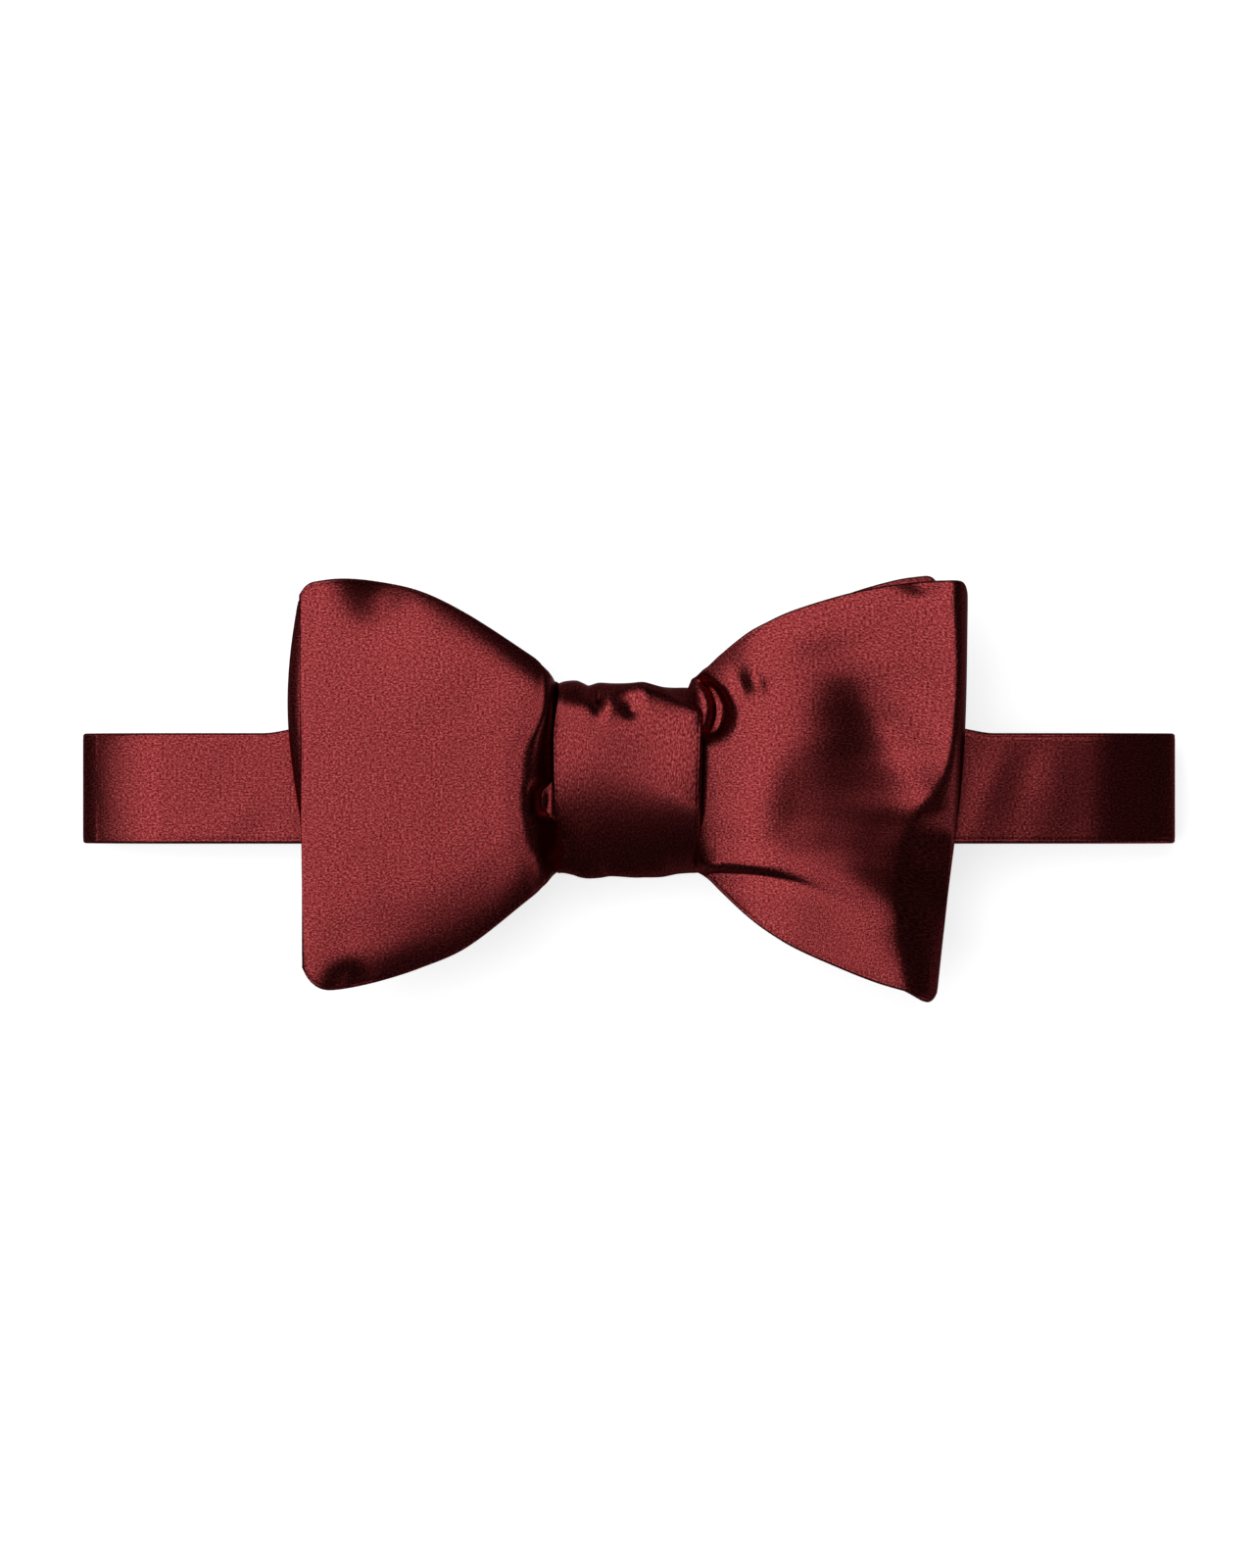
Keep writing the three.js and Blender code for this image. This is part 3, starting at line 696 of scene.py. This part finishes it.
# From the blade's tip on the left through the waist and round the right loop back to the waist. The side
# that lies inside the loop hardly shows, so it has every second section.
def front_bow():
    left = blade_sections(-1, FRONT_BLADE_END, blade_places(WAIST_FRONT, FRONT_BLADE_END[-1][0]))
    right = run_sections(1, FRONT_LOOP_OUTER, places_out(WAIST_FRONT, FRONT_LOOP_OUTER[-1][0]))
    turn = turn_sections(1, FRONT_LOOP_OUTER, FRONT_LOOP_INNER, FRONT_FOLD)
    back_places = places_out(WAIST_BACK, FRONT_LOOP_INNER[-1][0])[::-2]
    back = run_sections(1, FRONT_LOOP_INNER, back_places, shown=0.0)
    sections = np.concatenate([left[::-1], right, turn, back])
    grid = bow_grid(sections, (FRONT_BLADE_EDGE, FRONT_LOOP_EDGE), FRONT_COLUMNS, in_front=True)
    return cloth_piece("front_bow_satin", grid, CLOTH_WALL)


# The same the other way round: its blade is on the right and its loop on the left.
def rear_bow():
    right = blade_sections(1, REAR_BLADE_END, blade_places(WAIST_BACK, REAR_BLADE_END[-1][0]))
    left = run_sections(-1, REAR_LOOP_OUTER, places_out(WAIST_BACK, REAR_LOOP_OUTER[-1][0]))
    turn = turn_sections(-1, REAR_LOOP_OUTER, REAR_LOOP_INNER, REAR_FOLD)
    back_places = places_out(WAIST_BACK, REAR_LOOP_INNER[-1][0])[::-2]
    back = run_sections(-1, REAR_LOOP_INNER, back_places)
    sections = np.concatenate([right[::-1], left, turn, back])
    grid = bow_grid(sections, (REAR_LOOP_EDGE, REAR_BLADE_EDGE), REAR_COLUMNS, in_front=False)
    return cloth_piece("rear_bow_satin", grid, CLOTH_WALL)


def superellipse(share, roundness):
    return np.sign(share) * np.abs(share) ** (2 / roundness)


# The wrap of satin: rows round it and columns from its left edge to its right one.
def knot():
    angle = 2 * np.pi * np.arange(KNOT_AROUND)[:, None] / KNOT_AROUND
    rim = 1 - np.array(RIM_STEPS) / KNOT_HALF_WIDTH
    inner = np.linspace(-rim[-1], rim[-1], KNOT_COLUMNS + 1)[1:-1]
    station = np.concatenate([-rim, inner, rim[::-1]])[None, :] + 0 * angle
    share = (station + 1) / 2
    front = np.sin(angle) > 0
    upper = np.where(np.cos(angle) > 0, KNOT_TOP_ROUNDNESS, KNOT_BOTTOM_ROUNDNESS)
    roundness = np.where(front, upper, KNOT_BACK_ROUNDNESS)
    upward = superellipse(np.cos(angle), roundness)
    outward = superellipse(np.sin(angle), roundness)
    y = knot_y(share, front, upward)
    tuck = np.where(front, mix(KNOT_LEFT_TUCK, KNOT_RIGHT_TUCK, share), KNOT_BACK_TUCK)
    half_depth = KNOT_HALF_DEPTH - KNOT_WALL / 2 - tuck * station**KNOT_TUCK_POWER
    z = KNOT_HEIGHT + half_depth * outward - KNOT_SAG * (1 - share) * np.minimum(upward, 0) ** 2
    sides = smooth_value(KNOT_SIDES, y)
    x = mix(sides[..., 0], sides[..., 1], share)
    shown = ramp(KNOT_HEIGHT, KNOT_HEIGHT + KNOT_FOLD_RISE, z)
    dent = (relief(KNOT_FOLDS, x, y) + steps(KNOT_STEPS, x, y)) * shown
    grid = np.stack([x, y + dent * np.cos(angle), z + dent * np.sin(angle)], axis=2)
    return cloth_piece("knot_satin", grid, KNOT_WALL, closed=True)


# How far up the photo each point of the knot lies. Its outline waves at the top and the bottom.
def knot_y(share, front, upward):
    outline = smooth_value(KNOT_OUTLINE, mix(KNOT_OUTLINE[0][0], KNOT_OUTLINE[-1][0], share))
    middle = (KNOT_TOP + KNOT_BOTTOM) / 2
    crease = np.where(front, mix(KNOT_CREASE_LEFT, KNOT_CREASE_RIGHT, share), middle)
    edge = np.where(upward > 0, KNOT_TOP - KNOT_WALL / 2, KNOT_BOTTOM + KNOT_WALL / 2)
    top_wave = (outline[..., 0] - KNOT_TOP) * ramp(KNOT_WAVE_FROM, 1, upward)
    bottom_wave = (outline[..., 1] - KNOT_BOTTOM) * ramp(KNOT_WAVE_FROM, 1, -upward)
    return mix(crease, edge, np.abs(upward)) + top_wave + bottom_wave


# Points of the band's line, without the first: an arc, and a run whose height follows its x.
def arc(middle_x, middle_z, reach_x, reach_z, start, end, count, roundness=2.0):
    angle = np.radians(np.linspace(start, end, count + 1))[1:]
    x = middle_x + reach_x * superellipse(np.cos(angle), roundness)
    z = middle_z + reach_z * superellipse(np.sin(angle), roundness)
    return np.column_stack([x, z])


def run(start, end, step, height_at):
    x = spaced(start, end, step)[1:]
    return np.column_stack([x, height_at(x) + 0 * x])


# One half of the neck band seen from its edge: x and z from the tucked end to the middle of the back.
def band_half(crest, roundness):
    tucked = BAND_LOWER_HEIGHT + CLOTH_WALL + BAND_GAP
    fold_top = CLASP_HEIGHT + CLASP_FOLD_RADIUS
    end = BAND_REACH - CLOTH_WALL / 2
    middle = (BAND_CREST_HEIGHT + BAND_LOWER_HEIGHT) / 2
    half = (BAND_CREST_HEIGHT - BAND_LOWER_HEIGHT) / 2
    return np.concatenate([
        [[CLASP_TUCKED_END, tucked]],
        run(CLASP_TUCKED_END, CLASP_FOLD_END, BAND_TUCK_STEP,
            lambda x: mix(fold_top, tucked, ramp(CLASP_TUCK_FROM, CLASP_TUCK_TO, x))),
        arc(CLASP_FOLD_X, CLASP_HEIGHT, CLASP_FOLD_RADIUS, CLASP_FOLD_RADIUS, 90, 270, CLASP_FOLD_STEPS),
        run(CLASP_FOLD_X, end - BAND_LOWER_CURVE, BAND_LOWER_STEP, lambda x: BAND_LOWER_HEIGHT),
        arc(end - BAND_LOWER_CURVE, middle, BAND_LOWER_CURVE, half, -90, 0, LOWER_CURVE_STEPS),
        arc(crest, middle, end - crest, half, 0, 90, CREST_STEPS, roundness),
        run(crest, 0, BAND_UPPER_STEP,
            lambda x: mix(BAND_UPPER_HEIGHT, BAND_CREST_HEIGHT, ramp(KNOT_HALF_WIDTH, BAND_RISE_END, x))),
    ])


# The whole loop, from one tucked end over the back of the bow to the other. It is wider behind the bow.
def neck_band():
    right = band_half(BAND_RIGHT_CREST, BAND_RIGHT_ROUNDNESS)
    left = band_half(BAND_LEFT_CREST, BAND_LEFT_ROUNDNESS) * (-1, 1)
    line = np.concatenate([right, left[-2::-1]])
    x, z = line[:, :1], line[:, 1:]
    upper = ramp(BAND_UPPER_HEIGHT - BAND_GAP, BAND_UPPER_HEIGHT, z)
    flare = BAND_FLARE * upper * (1 - ramp(BAND_FLARE_END, BAND_FLARE_FADE, np.abs(x)))
    half = BAND_WIDTH / 2
    flat_y = places_across(np.array([[half]]), np.array([[-half]]), BAND_COLUMNS)
    y = flat_y + flare * (flat_y > 0) * flat_y / half
    x = x + 0 * y
    wave = (ripple(x, y) + relief(BAND_FOLDS, x, y)) * upper
    grid = np.stack([x, y, z + wave], axis=2)
    return cloth_piece("neck_band_satin", grid, CLOTH_WALL)


def new_material(name):
    material = bpy.data.materials.new(name)
    material.use_nodes = True
    return material, material.node_tree.nodes["Principled BSDF"].inputs


def math_node(tree, operation, first, second=None):
    node = tree.nodes.new("ShaderNodeMath")
    node.operation = operation
    for socket, value in zip(node.inputs, (first, second)):
        if isinstance(value, (int, float)):
            socket.default_value = value
        elif value is not None:
            tree.links.new(value, socket)
    return node.outputs[0]


# A fine grain, stretched along the cloth.
def thread_grain(tree, along, across):
    stretch = tree.nodes.new("ShaderNodeCombineXYZ")
    tree.links.new(math_node(tree, "MULTIPLY", along, GRAIN_ALONG), stretch.inputs["X"])
    tree.links.new(math_node(tree, "MULTIPLY", across, GRAIN_ACROSS), stretch.inputs["Y"])
    grain = tree.nodes.new("ShaderNodeTexNoise")
    grain.inputs["Scale"].default_value = 1.0
    grain.inputs["Detail"].default_value = GRAIN_DETAIL
    grain.inputs["Roughness"].default_value = GRAIN_ROUGHNESS
    tree.links.new(stretch.outputs[0], grain.inputs["Vector"])
    return grain.outputs["Fac"]


# The raised dots where the threads of a weave cross on the slant.
def weave_dots(tree, along, across):
    turns = 2 * math.pi / THREAD_PITCH * THREAD_SLANT
    rising = math_node(tree, "MULTIPLY", math_node(tree, "ADD", along, across), turns)
    falling = math_node(tree, "MULTIPLY", math_node(tree, "SUBTRACT", along, across), turns)
    product = math_node(tree, "MULTIPLY", math_node(tree, "SINE", rising), math_node(tree, "SINE", falling))
    return math_node(tree, "POWER", math_node(tree, "MAXIMUM", product, 0.0), DOT_SHARPNESS)


# Satin mirrors softly and in its own colour. Its grain and its dots are worked in the cloth's own map.
def satin(name):
    material, inputs = new_material(name)
    tree = material.node_tree
    inputs["Metallic"].default_value = 1.0
    inputs["Specular Tint"].default_value = SATIN_EDGE_TINT
    inputs["Roughness"].default_value = SATIN_ROUGHNESS

    place = tree.nodes.new("ShaderNodeUVMap")
    place.uv_map = "cloth"
    split = tree.nodes.new("ShaderNodeSeparateXYZ")
    tree.links.new(place.outputs["UV"], split.inputs[0])
    grain = thread_grain(tree, split.outputs["X"], split.outputs["Y"])
    dots = weave_dots(tree, split.outputs["X"], split.outputs["Y"])

    bump = tree.nodes.new("ShaderNodeBump")
    bump.inputs["Strength"].default_value = WEAVE_STRENGTH
    bump.inputs["Distance"].default_value = WEAVE_DEPTH
    height = math_node(tree, "ADD", grain, math_node(tree, "MULTIPLY", dots, DOT_HEIGHT))
    tree.links.new(height, bump.inputs["Height"])
    tree.links.new(bump.outputs["Normal"], inputs["Normal"])

    tone = tree.nodes.new("ShaderNodeValToRGB")
    tone.color_ramp.elements.new(0.5)
    for element, (level, colour) in zip(tone.color_ramp.elements, THREAD_TONES):
        element.position = level
        element.color = (*colour, 1)
    tree.links.new(grain, tone.inputs["Fac"])
    tree.links.new(tone.outputs["Color"], inputs["Base Color"])
    return material


def plain(name, colour, roughness, metallic=0.0, glow=0.0):
    material, inputs = new_material(name)
    inputs["Base Color"].default_value = (*colour, 1)
    inputs["Roughness"].default_value = roughness
    inputs["Metallic"].default_value = metallic
    inputs["Emission Color"].default_value = (1, 1, 1, 1)
    inputs["Emission Strength"].default_value = glow
    return material


def stage_plane(name, height, paint):
    reach = FLOOR_REACH
    corners = [(-reach, -reach, 0), (reach, -reach, 0), (reach, reach, 0), (-reach, reach, 0)]
    mesh = bpy.data.meshes.new(name)
    mesh.from_pydata(corners, [], [(0, 1, 2, 3)])
    mesh.materials.append(paint)
    plane = bpy.data.objects.new(name, mesh)
    plane.location.z = height
    bpy.context.scene.collection.objects.link(plane)
    return plane


# The satin doesn't mirror the white floor, which would turn its edges red. It mirrors a dim card instead.
def make_floor():
    floor = stage_plane("floor", 0, plain("floor_paint", FLOOR_COLOUR, FLOOR_ROUGHNESS, glow=FLOOR_GLOW))
    floor.visible_glossy = False
    card = stage_plane("mirrored_card", -CARD_DROP, plain("card_paint", (0, 0, 0), 1, glow=CARD_GLOW))
    card.visible_camera = False
    card.visible_diffuse = False
    card.visible_shadow = False


def make_world():
    world = bpy.data.worlds.new("studio")
    bpy.context.scene.world = world
    world.use_nodes = True
    background = world.node_tree.nodes["Background"].inputs
    background["Color"].default_value = (1, 1, 1, 1)
    background["Strength"].default_value = WORLD_GLOW


# A flat light that faces the object.
def area_light(name, place, size, power):
    data = bpy.data.lights.new(name, "AREA")
    data.shape = "RECTANGLE"
    data.size, data.size_y = size
    data.energy = power
    light = bpy.data.objects.new(name, data)
    light.location = place
    light.rotation_euler = Vector(place).to_track_quat("Z", "Y").to_euler()
    bpy.context.scene.collection.objects.link(light)


def make_camera():
    data = bpy.data.cameras.new("camera")
    data.lens = CAMERA_LENS
    data.clip_start = CAMERA_NEAR
    camera = bpy.data.objects.new("camera", data)
    camera.location = Vector(CAMERA_PLACE) * MM
    bpy.context.scene.collection.objects.link(camera)
    bpy.context.scene.camera = camera


# Each cloth: its form, its node, its width, length and area before it was sewn, how it is held and what
# it lies on.
CLOTHS = (
    (front_bow, "front_bow", 78.2, 184.0, 10130.0, "gathered", "rear_bow_satin"),
    (rear_bow, "rear_bow", 73.2, 176.0, 9245.0, "gathered", "neck_band_satin"),
    (knot, "knot", 26.6, 83.4, 2180.0, "folded", "front_bow_satin"),
    (neck_band, "neck_band", 21.1, 434.0, 8815.0, "laid", "floor"),
)
cloth = satin("burgundy_satin")
for form, node, width, length, area, held, under in CLOTHS:
    piece = form()
    piece.data.materials.append(cloth)
    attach(piece, "root")
    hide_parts(node)
clasp_metal = plain("clasp_metal", CLASP_COLOUR, CLASP_ROUGHNESS, metallic=1.0)
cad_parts["clasp"].material_slots[0].material = clasp_metal

make_floor()
make_world()
for light in LIGHTS:
    area_light(*light)
make_camera()
bpy.context.scene.view_settings.view_transform = "Standard"
